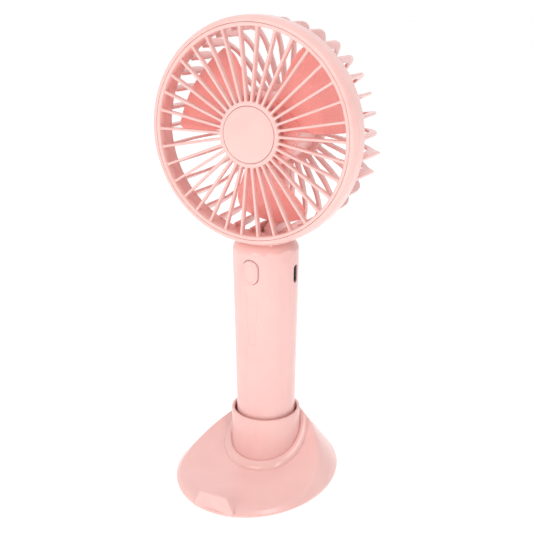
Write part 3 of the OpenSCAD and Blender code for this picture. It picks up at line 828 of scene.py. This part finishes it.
@dataclass
class Impeller:
    """Spinner cup with three wide pitched blades."""

    count: int = 3
    rest: float = 31.0
    sweep: float = 64.0
    rake: float = 7.0
    bow: float = 1.6
    lean: float = 4.0
    round_off: float = 0.16
    hub_radius: float = 17.5
    hub_wall: float = 1.4
    boss_radius: float = 3.2
    hub_front: float = -13.5
    hub_back: float = 0.8
    tip_radius: float = 44.5
    front: float = -12.0
    back: float = 2.5
    thickness: float = 1.4

    def hub(self, solid: Solid) -> None:
        """Add the spinner cup and the boss that grips the shaft."""
        outer, wall, boss = self.hub_radius, self.hub_radius - self.hub_wall, self.boss_radius
        front, floor, back = self.hub_front, self.hub_front + 1.6, self.hub_back
        solid.disc(rounded([
            (boss, 0.0, 0.2), (boss, floor, 0.3), (wall, floor, 0.8), (wall, back, 0.3), (outer, back, 0.4),
            (outer, front, 1.6), (0.5, front, 0.0)], 5, closed=False))

    def blade_loop(self, v: float, thin: float) -> Loop:
        """Return one section round a blade.

        Args:
            v: Place along the blade, from the hub (0) to the tip (1).
            thin: Share of the full thickness.

        Returns:
            The section's points, in the head's frame, for a blade centred on +X.
        """
        root = self.hub_radius - 1.2
        radius = root + v * (self.tip_radius - root)
        reach = math.radians(self.sweep) * (1 - self.round_off * (2 * v - 1) ** 4)
        lean = math.radians(self.lean) * (v - 0.5)
        front, back = self.front + self.thickness, self.back - self.thickness
        steps = 28
        loop = []
        for side in (1, -1):
            for k in range(steps):
                u = 0.5 - 0.5 * math.cos(math.pi * k / steps)
                u = u if side > 0 else 1 - u
                half = self.thickness / 2 * thin * max(0.0, 1 - abs(2 * u - 1) ** 6) ** 0.5
                depth = front + u * (back - front) + self.bow * math.sin(math.pi * u) + self.rake * v
                loop.append(polar(radius, lean + reach * (0.5 - u), depth + side * half))
        return loop

    def build(self, finishes: Finishes) -> None:
        """Make and dress the impeller."""
        solid = Solid()
        self.hub(solid)
        places = [0.0, 0.06, 0.14, 0.24, 0.34, 0.44, 0.54, 0.64, 0.73, 0.81, 0.87, 0.92, 0.955, 0.98, 0.992]
        sections = [(v, 1.0) for v in places] + [(0.997, 0.8), (1.0, 0.45)]
        for i in range(self.count):
            blade = Solid().skin([self.blade_loop(v, thin) for v, thin in sections])
            angle = math.radians(self.rest + 360 / self.count * i)
            c, s = math.cos(angle), math.sin(angle)
            start = len(solid.points)
            solid.points += [Vector((p.x * c - p.z * s, p.y, p.x * s + p.z * c)) for p in blade.points]
            solid.faces += [tuple(start + k for k in face) for face in blade.faces]
        publish(solid.moved(AXIS).mesh("impeller_moulding"), finishes.blade, Body.ROTOR,
                "impeller")


# ---------------------------------------------------------------- grip


@dataclass
class Grip:
    """The two shells of the handle and the power button."""

    low: float = 2.6
    low_radius: float = 14.5
    top_radius: float = 16.4
    shoulder: float = 115.2
    shoulder_round: float = 6.5
    shoulder_centre: float = 10.2
    neck_radius: float = 12.9
    wall: float = 1.8
    cap_seat: float = 5.4
    split: float = 3.4
    saddle: float = 51.65
    button_height: float = 108.4
    button_width: float = 7.8
    button_length: float = 11.9
    button_gap: float = 0.3
    button_proud: float = 0.7
    port_height: float = 105.6
    port_length: float = 9.44
    port_width: float = 4.16
    flute_top: float = 101.2
    flute_low: float = 49.0
    flute_inner_low: float = 70.6
    # The flute's half widths at its top and at its low end, and the two depths that it is sunk by.
    flute_outer: Flat = (5.3, 3.2)
    flute_inner: Flat = (3.7, 2.1)
    flute_depths: Flat = (0.42, 0.4)
    # Each screw's place across, its height, and how far back its counterbore starts.
    screws: tuple[Corner, ...] = ((0.0, 9.5, 12.0), (-5.5, 117.0, 12.6), (5.5, 117.0, 12.6))
    counterbore: float = 1.9

    def radius(self, z: float) -> float:
        """Return the radius of the round that the section fits in, at height z."""
        share = (z - self.low) / (self.shoulder - self.low)
        return self.low_radius + (self.top_radius - self.low_radius) * share

    def edges(self, z: float) -> list[float]:
        """Return the angles of one side's facet edges, in degrees, from the front round to the back."""
        wedge = 44 - 17 * min(max((z - 97) / 21, 0.0), 1.0)
        side = 70 + 12 * min(max((z - 112.8) / 4, 0.0), 1.0)
        return [wedge, 50.0, side, 85.0, 95.0, 110.0, 130.0]

    def skin_radius(self, angle: float, z: float) -> float:
        """Return the faceted section's radius.

        Args:
            angle: Angle from the front towards +X, in degrees.
            z: Height.

        Returns:
            The distance from the grip's axis.
        """
        around = abs((angle + 180) % 360 - 180)
        full = self.radius(z)
        edges = self.edges(z)
        for a, b in zip(edges, edges[1:]):
            if a < around < b:
                half = math.radians((b - a) / 2)
                full *= math.cos(half) / math.cos(math.radians(around - (a + b) / 2))
                break
        if z > self.shoulder:
            rise = z - self.shoulder
            full = min(full, self.shoulder_centre + math.sqrt(max(self.shoulder_round**2 - rise**2, 0.0)))
        return full

    def flute_widths(self, z: float) -> tuple[float, float]:
        """Return the half widths of the flute's inner and outer edges at height z."""
        down = max(self.flute_top - z, 0.0)

        def width(widths: Flat, end: float) -> float:
            """Return a half width that narrows evenly from the flute's top to its end."""
            return widths[0] - (widths[0] - widths[1]) * down / (self.flute_top - end)

        inner = max(width(self.flute_inner, self.flute_inner_low), 1.2)
        return inner, width(self.flute_outer, self.flute_low)

    def flute_depth(self, x: float, z: float) -> float:
        """Return how far the flute is sunk at distance x from the middle and height z."""
        inner, outer = self.flute_widths(z)
        ends = ease((self.flute_top - z) / 5) * ease((z - self.flute_low) / 9)
        inner_ends = ends * ease((z - self.flute_inner_low + 1.0) / 1.6)
        shallow = self.flute_depths[0] * ease((outer - x) / 1.3)
        deep = self.flute_depths[1] * ease((inner - x) / 0.45)
        return shallow * ends + deep * inner_ends

    def columns(self, z: float) -> list[float]:
        """Return the angles, in degrees, that the section is sampled at on the +X side, from the front."""
        inner, outer = self.flute_widths(z)
        radius = self.radius(z)
        across = [0.0, inner * 0.5, inner - 0.5, inner - 0.34, inner - 0.2, inner - 0.06, inner + 0.1,
                  outer - 1.35, outer - 1.0, outer - 0.6, outer - 0.25, outer + 0.1]
        angles = [math.degrees(math.asin(x / radius)) for x in across]
        edges = self.edges(z)
        stops = [angles[-1]] + edges + [180.0]
        counts = (9, 3, 6, 3, 4, 5, 5, 16)
        for a, b, count in zip(stops, stops[1:], counts):
            first = a + 0.45 if a in edges else a
            last = b - 0.45 if b in edges else b
            angles += [first + (last - first) * k / count for k in range(int(a not in edges), count + 1)]
        return angles[:-1]

    def outside(self, angle: float, z: float) -> Vector:
        """Return a point of the handle's outside, in the grip's frame."""
        radius = self.skin_radius(angle, z)
        way = math.radians(angle)
        x = radius * math.sin(way)
        if abs(angle) < 60:
            radius -= self.flute_depth(abs(x), z)
        return Vector((radius * math.sin(way), -radius * math.cos(way), z))

    def body(self) -> Solid:
        """Return both shells as one hollow solid."""
        low = self.low
        levels = [low + 0.45, low + 0.9, 8.0, 16.0, 28.0, 40.0]
        levels += [self.flute_low + k * 1.5 for k in range(14)]
        levels += [69.0, 69.6, 70.2, 70.8, 71.4, 72.5] + [74.0 + 2.0 * k for k in range(9)]
        levels += [91.5, 94.0, 95.4] + [96.2 + 0.8 * k for k in range(7)]
        levels += [102.0 + 1.5 * k for k in range(7)] + [111.5, 112.8, 114.0, 115.0, 115.8, 116.4, 116.9]
        levels += [117.4 + 0.6 * k for k in range(5)] + [120.3, 120.75, 121.1]
        around = []
        for z in levels:
            right = self.columns(z)
            around.append(right + [180.0] + [-a for a in reversed(right[1:])])
        foot = [self.outside(a, low) for a in around[0]]
        rows = [[Vector((p.x * 0.965, p.y * 0.965, low)) for p in foot],
                [Vector((p.x * 0.985, p.y * 0.985, low + 0.12)) for p in foot]]
        rows += [[self.outside(a, z) for a in angles] for z, angles in zip(levels, around)]
        both = around[-1]

        def circle(radius: float, z: Callable[[float], float]) -> Loop:
            """Return a plain circle whose height depends on x, with the section's own angles."""
            ring = []
            for a in both:
                x, y = radius * math.sin(math.radians(a)), -radius * math.cos(math.radians(a))
                ring.append(Vector((x, y, z(x))))
            return ring

        def saddle(x: float) -> float:
            """Return the height of the head's seat at distance x from the middle."""
            return AXIS.z - math.sqrt(self.saddle**2 - x**2)

        neck, wall, ledge = self.neck_radius, self.wall, self.shoulder + 0.8
        rows.append(circle(neck, lambda x: saddle(x) - 0.25))
        rows.append(circle(neck - 0.2, saddle))
        rows.append(circle(neck - wall, saddle))
        rows.append(circle(neck - wall, lambda x: ledge))
        rows.append(circle(self.radius(self.shoulder) - wall, lambda x: ledge))
        for z in (96.0, 60.0, 30.0, self.cap_seat):
            rows.append(circle(self.radius(z) - wall, lambda x, z=z: z))
        for z in (self.cap_seat, low):
            rows.append(circle(self.low_radius - wall - 0.4, lambda x, z=z: z))
        return Solid().skin(rows, ring=True)

    def slot_cutter(self, half_wide: float, half_long: float, place: Place, low: float,
                    high: float) -> bpy.types.Object:
        """Return a block with round ends that cuts an opening."""
        outline = round_ended(half_wide, half_long, 10)
        loops = [[place(x, z, depth) for x, z in outline] for depth in (low, high)]
        return Solid().skin(loops).moved(GRIP).mesh("cutter")

    def screw_cutter(self, x: float, z: float, seat: float) -> bpy.types.Object:
        """Return a rod that opens one screw's counterbore at the back."""
        turns = spread(0, 2 * math.pi, 40)
        radius = self.counterbore
        loops = [[Vector((x + radius * math.cos(a), depth, z + radius * math.sin(a))) for a in turns]
                 for depth in (seat, 20.0)]
        return Solid().skin(loops).moved(GRIP).mesh("cutter")

    def half(self, whole: bpy.types.Object, name: str, front: bool) -> bpy.types.Object:
        """Return a copy of the handle cut down to its front or back shell."""
        piece = whole.copy()
        piece.data = whole.data.copy()
        piece.name = name
        bpy.context.scene.collection.objects.link(piece)
        near, far = (-40.0, self.split - 0.04) if front else (self.split + 0.04, 40.0)
        corners = [(-40, near), (40, near), (40, far), (-40, far)]
        block = Solid().skin([[Vector((x, y, z)) for x, y in corners] for z in (-5.0, 140.0)]).moved(GRIP)
        carve(piece, block.mesh("cutter"), "INTERSECT")
        return piece

    def button(self) -> Solid:
        """Return the power button: dished cap in a raised rim, flange and stem."""
        skin = self.radius(self.button_height)
        half_wide, half_long = self.button_width / 2, self.button_length / 2
        face = -skin - self.button_proud

        def ring(inset: float, depth: float) -> Loop:
            """Return one round-ended loop, inset from the cap's edge and sunk behind its face."""
            outline = round_ended(half_wide - inset, half_long - inset, 14)
            return [Vector((x, face + depth, z + self.button_height)) for x, z in outline]

        flange = [(-0.75, 4.45), (-0.8, 4.4), (-0.8, 3.7), (-0.75, 3.65)]
        side = [(0.05, 3.6), (0.0, 3.5), (0.0, 0.5), (0.06, 0.25), (0.2, 0.08)]
        rim = [(0.42, 0.0), (0.72, 0.03), (0.95, 0.18), (1.15, 0.36)]
        dish = [(1.5, 0.42), (2.2, 0.5), (3.0, 0.55), (3.6, 0.56)]
        solid = Solid().skin([ring(inset, depth) for inset, depth in flange + side + rim + dish])
        turns = spread(0, 2 * math.pi, 40)
        stem = [[Vector((r * math.cos(a), y, self.button_height + r * math.sin(a))) for a in turns]
                for r, y in ((1.3, -6.95), (1.5, -7.15), (1.5, face + 4.2))]
        return solid.skin(stem)

    def build(self, finishes: Finishes) -> None:
        """Make and dress the handle's shells and the button."""
        whole = self.body().moved(GRIP).mesh("handle")
        gap = self.button_gap
        button = self.slot_cutter(self.button_width / 2 + gap, self.button_length / 2 + gap,
                                  lambda x, z, d: Vector((x, d, self.button_height + z)), -22.0, -10.0)
        carve(whole, button, "DIFFERENCE")
        port = self.slot_cutter(self.port_width / 2, self.port_length / 2,
                                lambda y, z, d: Vector((d, y, self.port_height + z)), 8.0, 22.0)
        carve(whole, port, "DIFFERENCE")
        for x, z, seat in self.screws:
            carve(whole, self.screw_cutter(x, z, seat), "DIFFERENCE")
        for name, node, front in (("handle_front_moulding", "handle_front_shell", True),
                                  ("handle_rear_moulding", "handle_rear_shell", False)):
            publish(self.half(whole, name, front), finishes.shell, Body.FAN, node)
        bpy.data.objects.remove(whole)
        publish(self.button().moved(GRIP).mesh("power_button_cap"), finishes.shell, Body.BUTTON,
                "power_button")


# ---------------------------------------------------------------- stand


@dataclass
class Stand:
    """Flared oval foot with a dish for a phone, its lip, and the socket collar."""

    foot_x: float = 40.0
    foot_y: float = 47.0
    collar_radius: float = 17.6
    collar_inner: float = 16.1
    collar_top: float = 31.0
    skirt_top: float = 28.6
    edge: float = 1.6
    under: float = 0.4
    recess: float = 1.4
    pad_inset: float = 2.0
    socket_floor: float = 2.55
    dish_floor: float = 3.1
    dish_bend: float = 72.0
    dish_start: float = -29.0
    latest_cut: float = 0.93
    bead_width: float = 4.2
    bead_height: float = 2.9
    lip_low: float = 21.0
    lip_top: float = 14.7
    lip_height: float = 9.8
    lip_front: float = -46.4
    lip_thickness: float = 2.2

    def skirt_place(self, turn: float, t: float) -> Vector:
        """Return a point of the plain skirt, in the part's frame.

        Args:
            turn: Angle round the foot, from +X towards +Y, in radians.
            t: Share of the way up, from the foot (0) to the collar (1).

        Returns:
            The point, in millimetres.
        """
        c, s = math.cos(turn), math.sin(turn)
        x = (1 - t) * self.foot_x * c + t * self.collar_radius * c
        y = (1 - t) * self.foot_y * s + t * (GRIP.y + self.collar_radius * s)
        return Vector((x, y, self.edge + (self.skirt_top - self.edge) * t))

    def dish_height(self, y: float) -> float:
        """Return the height of the phone's dish at depth y."""
        if y < self.dish_start:
            return self.dish_floor
        run = min(y - self.dish_start, self.dish_bend)
        return self.dish_floor + self.dish_bend - math.sqrt(self.dish_bend**2 - run**2)

    def bead(self, gap: float) -> float:
        """Return the height of the rounded step at a distance from the collar."""
        if gap >= self.bead_width:
            return 0.0
        return self.bead_height * math.sqrt(1 - (gap / self.bead_width) ** 2) - 0.8 * ease(1 - gap / 0.9)

    def surface(self, turn: float, t: float) -> Vector:
        """Return a point of the scooped skirt with its step."""
        point = self.skirt_place(turn, t)
        gap = math.hypot(point.x, point.y - GRIP.y) - self.collar_radius
        point.z = min(point.z, self.dish_height(point.y) + self.bead(max(gap, 0.0)))
        return point

    def crossing(self, turn: float) -> float:
        """Return the share of the way up at which the dish cuts the skirt, or latest_cut where it doesn't."""
        low, high = 0.0, self.latest_cut
        if self.skirt_place(turn, high).z < self.dish_height(self.skirt_place(turn, high).y):
            return high
        for _ in range(30):
            middle = (low + high) / 2
            point = self.skirt_place(turn, middle)
            if point.z > self.dish_height(point.y):
                high = middle
            else:
                low = middle
        return high

    def step_start(self, turn: float, ridge: float) -> float:
        """Return the share of the way up at which the rounded step starts, never under the ridge."""
        low, high = 0.0, 1.0
        for _ in range(30):
            middle = (low + high) / 2
            point = self.skirt_place(turn, middle)
            if math.hypot(point.x, point.y - GRIP.y) - self.collar_radius > self.bead_width:
                low = middle
            else:
                high = middle
        return max(low, ridge + 0.012)

    def spoke(self, turn: float) -> Loop:
        """Return the stand's section in one direction, from under the foot over the top into the socket."""
        c, s = math.cos(turn), math.sin(turn)

        def oval(inset: float, z: float) -> Vector:
            """Return a point of the foot's outline."""
            return Vector(((self.foot_x - inset) * c, (self.foot_y - inset) * s, z))

        inset, under, edge = self.pad_inset, self.under, self.edge
        points = [oval(30.0, self.recess), oval(inset, self.recess), oval(inset, under), oval(0.3, under),
                  oval(0.08, under + 0.1), oval(0.0, under + 0.35), oval(0.0, edge - 0.5),
                  oval(0.12, edge - 0.12)]
        ridge = self.crossing(turn)
        step = self.step_start(turn, ridge)
        soft = min(0.012, ridge * 0.3)
        shares = [ridge * k for k in (0.02, 0.25, 0.5, 0.75)] + [ridge - soft, ridge + soft * 0.8]
        shares += [ridge + (step - ridge) * k for k in (0.12, 0.25, 0.4, 0.55, 0.7, 0.85, 0.94)]
        rise = (0.0, 0.015, 0.05, 0.1, 0.17, 0.26, 0.37, 0.5, 0.62, 0.74, 0.84, 0.91, 0.96, 0.99, 1.0)
        shares += [step + (1 - step) * k for k in rise]
        points += [self.surface(turn, min(t, 1.0)) for t in shares]

        def collar(radius: float, z: float) -> Vector:
            """Return a point round the grip's axis."""
            return Vector((radius * c, GRIP.y + radius * s, z))

        foot = points[-1].z
        outer, inner, top = self.collar_radius, self.collar_inner, self.collar_top
        points += [collar(outer, foot + (top - 0.5 - foot) * k) for k in (0.04, 0.3, 0.6, 1.0)]
        points += [collar(outer - 0.12, top - 0.16), collar(outer - 0.42, top), collar(inner + 0.4, top),
                   collar(inner + 0.12, top - 0.16), collar(inner, top - 0.5), collar(inner, 16.0),
                   collar(inner, self.socket_floor + 0.6), collar(inner - 0.6, self.socket_floor),
                   collar(4.0, self.socket_floor)]
        return points

    def lip(self, solid: Solid) -> None:
        """Add the lip that stops a phone from sliding off."""
        low, top = self.lip_low / 2, self.lip_top / 2
        outline = rounded([(-low, 1.0, 0.0), (low, 1.0, 0.0), (low, self.dish_floor, 0.4),
                           (top, self.lip_height, 0.7), (-top, self.lip_height, 0.7),
                           (-low, self.dish_floor, 0.4)], 5)
        front = self.lip_front
        solid.prism(outline, lambda x, z, d: Vector((x, front + d, z)), 0.0, self.lip_thickness, 0.35)

    def build(self, finishes: Finishes) -> None:
        """Make and dress the stand."""
        turns = spread(0, 2 * math.pi, 240)
        spokes = [self.spoke(turn) for turn in turns]
        loops = [[spoke[k] for spoke in spokes] for k in range(len(spokes[0]))]
        solid = Solid().skin(loops)
        self.lip(solid)
        publish(solid.mesh("stand_moulding"), finishes.shell, Body.STAND, "stand_shell")
        dress("anti_slip_pad", finishes.foam, 0.3)


# ---------------------------------------------------------------- inside


@dataclass
class Works:
    """Everything inside the grip and the motor."""

    spring_radius: float = 4.0
    spring_wire: float = 0.45
    spring_turns: float = 4.5
    plate_radius: float = 8.0
    plate_thickness: float = 0.5

    def spring(self) -> Solid:
        """Return the battery's spring: an even coil with the plate that touches the cell on top."""
        low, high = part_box("battery_spring")
        base, top = low.z / MM, high.z / MM
        steps, sides = 200, 12
        loops = []
        for i in range(steps + 1):
            t = i / steps
            radius = self.spring_radius - self.spring_wire
            turn = 2 * math.pi * self.spring_turns * t
            height = base + self.spring_wire + (top - base - 3 * self.spring_wire) * t
            out = Vector((math.cos(turn), math.sin(turn), 0))
            centre = out * radius + Vector((0, 0, height))
            loops.append([centre + (out * math.cos(a) + Vector((0, 0, 1)) * math.sin(a)) * self.spring_wire
                          for a in spread(0, 2 * math.pi, sides)])
        solid = Solid().skin(loops)
        turns = spread(0, 2 * math.pi, 64)
        edge, under = self.plate_radius, top - self.plate_thickness
        plate = [(edge - 0.3, under), (edge, under + 0.1), (edge, top - 0.1), (edge - 0.2, top)]
        return solid.skin([[Vector((r * math.cos(a), r * math.sin(a), z)) for a in turns] for r, z in plate])

    def build(self, finishes: Finishes) -> None:
        """Make the spring and dress the inner CAD nodes."""
        spring = self.spring().moved(GRIP).mesh("battery_spring_coil")
        publish(spring, finishes.steel, Body.FAN, "battery_spring")
        choices = {
            finishes.steel: ("motor_shaft", "motor_can", "motor_clamp", "clamp_screws", "handle_screws",
                             "armature_core", "tact_switch", "usb_port_shell", "battery_contact",
                             "battery_cell"),
            finishes.copper: ("armature_windings", "commutator", "motor_brushes"),
            finishes.bronze: ("front_bush", "rear_bush"),
            finishes.nylon: ("motor_end_bell", "switch_plunger", "board_chips", "usb_port_tongue"),
            finishes.ferrite: ("motor_magnets",),
            finishes.insulation: ("motor_leads", "battery_leads"),
            finishes.board: ("circuit_board",),
            finishes.lens: ("status_led",),
            finishes.film: ("battery_sleeve",),
            finishes.shell: ("handle_end_cap",),
        }
        soft_edges = {"handle_screws": 0.15, "clamp_screws": 0.12, "board_chips": 0.1, "handle_end_cap": 0.2}
        for finish, nodes in choices.items():
            for node in nodes:
                dress(node, finish, soft_edges.get(node, 0.0))


# ---------------------------------------------------------------- studio


@dataclass(frozen=True)
class Lamp:
    """One soft light that faces the fan. Places and sizes are in metres, power in watts."""

    name: str
    place: tuple[float, float, float]
    size: Flat
    power: float
    colour: str

    def build(self, aim: Vector) -> None:
        """Add the light, turned towards aim."""
        data = bpy.data.lights.new(self.name, "AREA")
        data.shape = "RECTANGLE"
        data.size, data.size_y = self.size
        data.energy = self.power
        data.color = linear(self.colour)[:3]
        lamp = bpy.data.objects.new(self.name, data)
        lamp.location = self.place
        lamp.rotation_euler = (aim - lamp.location).to_track_quat("-Z", "Y").to_euler()
        bpy.context.scene.collection.objects.link(lamp)


@dataclass
class Studio:
    """Pale floor, soft lights, a sky that is brighter on one side, and the camera."""

    lamps: tuple[Lamp, ...] = (
        Lamp("strip", (0.62, -0.66, 0.5), (0.05, 0.9), 2.4, "#FFF8F0"),
        Lamp("front", (-0.15, -1.0, 0.55), (0.5, 0.5), 3.6, "#FFF6F0"),
        Lamp("top", (0.45, -0.1, 1.0), (0.35, 0.35), 2.0, "#FFFFFF"),
    )
    floor_radius: float = 12.0
    floor_middle: float = 0.3
    floor_glow: float = 0.36
    fibre: float = 40.0
    camera_place: tuple[float, float, float] = (0.16697, -0.3225, 0.2288)
    camera_pitch: float = 18.207
    camera_turn: float = 26.733
    lens: float = 53.76
    shift_x: float = 0.0013
    aim: tuple[float, float, float] = (0.0, 0.01, 0.11)
    bright_side: tuple[float, float, float] = (-0.6, 0.7, 0.3)
    sky_dark: float = 0.1
    sky_bright: float = 1.0

    def floor(self) -> None:
        """Make the round floor."""
        turns = spread(0, 2 * math.pi, 96)
        radii = (self.floor_middle, self.floor_radius)
        points = [Vector((r * math.cos(a), r * math.sin(a), 0.0)) for r in radii for a in turns]
        width = len(turns)
        faces = [tuple(range(width))]
        faces += [(j, width + j, width + (j + 1) % width, (j + 1) % width) for j in range(width)]
        data = bpy.data.meshes.new("floor")
        data.from_pydata(points, [], faces)
        piece = bpy.data.objects.new("floor", data)
        bpy.context.scene.collection.objects.link(piece)
        material, tree, place = blank("white studio paper")
        fibre = add(tree, "ShaderNodeTexNoise", {"Vector": place, "Scale": per_mm(self.fibre), "Detail": 3.0})
        colour = ramp(tree, fibre.outputs["Fac"], linear("#F6F5F5"), linear("#FAFAF9"))
        shade(tree, {"Base Color": colour, "Roughness": 0.9, "Emission Color": linear("#FFFFFF"),
                     "Emission Strength": self.floor_glow})
        data.materials.append(material)

    def sky(self) -> None:
        """Make the sky, which is dark on one side and reaches full white on the other."""
        world = bpy.data.worlds.new("sky")
        world.use_nodes = True
        tree = world.node_tree
        background = tree.nodes["Background"]
        background.inputs["Color"].default_value = linear("#FFFFFF")
        way = add(tree, "ShaderNodeTexCoord").outputs["Generated"]
        facing = add(tree, "ShaderNodeVectorMath", {0: way, 1: self.bright_side}, operation="DOT_PRODUCT")
        strength = spanned(tree, facing.outputs["Value"], self.sky_dark, self.sky_bright, -0.6, 0.6)
        tree.links.new(strength, background.inputs["Strength"])
        bpy.context.scene.world = world

    def camera(self) -> None:
        """Make the camera."""
        scene = bpy.context.scene
        data = bpy.data.cameras.new("camera")
        data.lens = self.lens
        data.sensor_width = 36.0
        data.shift_x = self.shift_x
        camera = bpy.data.objects.new("camera", data)
        camera.location = self.camera_place
        camera.rotation_euler = (math.radians(90 - self.camera_pitch), 0.0, math.radians(self.camera_turn))
        scene.collection.objects.link(camera)
        scene.camera = camera

    def build(self) -> None:
        """Make the floor, the lights, the sky and the camera."""
        self.floor()
        for lamp in self.lamps:
            lamp.build(Vector(self.aim))
        self.sky()
        self.camera()
        bpy.context.scene.view_settings.view_transform = "Standard"
        LOG.info("studio ready")


def main() -> None:
    """Build the studio and every sub-assembly."""
    logging.basicConfig(level=logging.INFO, format="%(name)s: %(message)s")
    Studio().build()
    finishes = Finishes()
    Head().build(finishes)
    Impeller().build(finishes)
    Grip().build(finishes)
    Stand().build(finishes)
    Works().build(finishes)


if __name__ == "__main__":
    main()
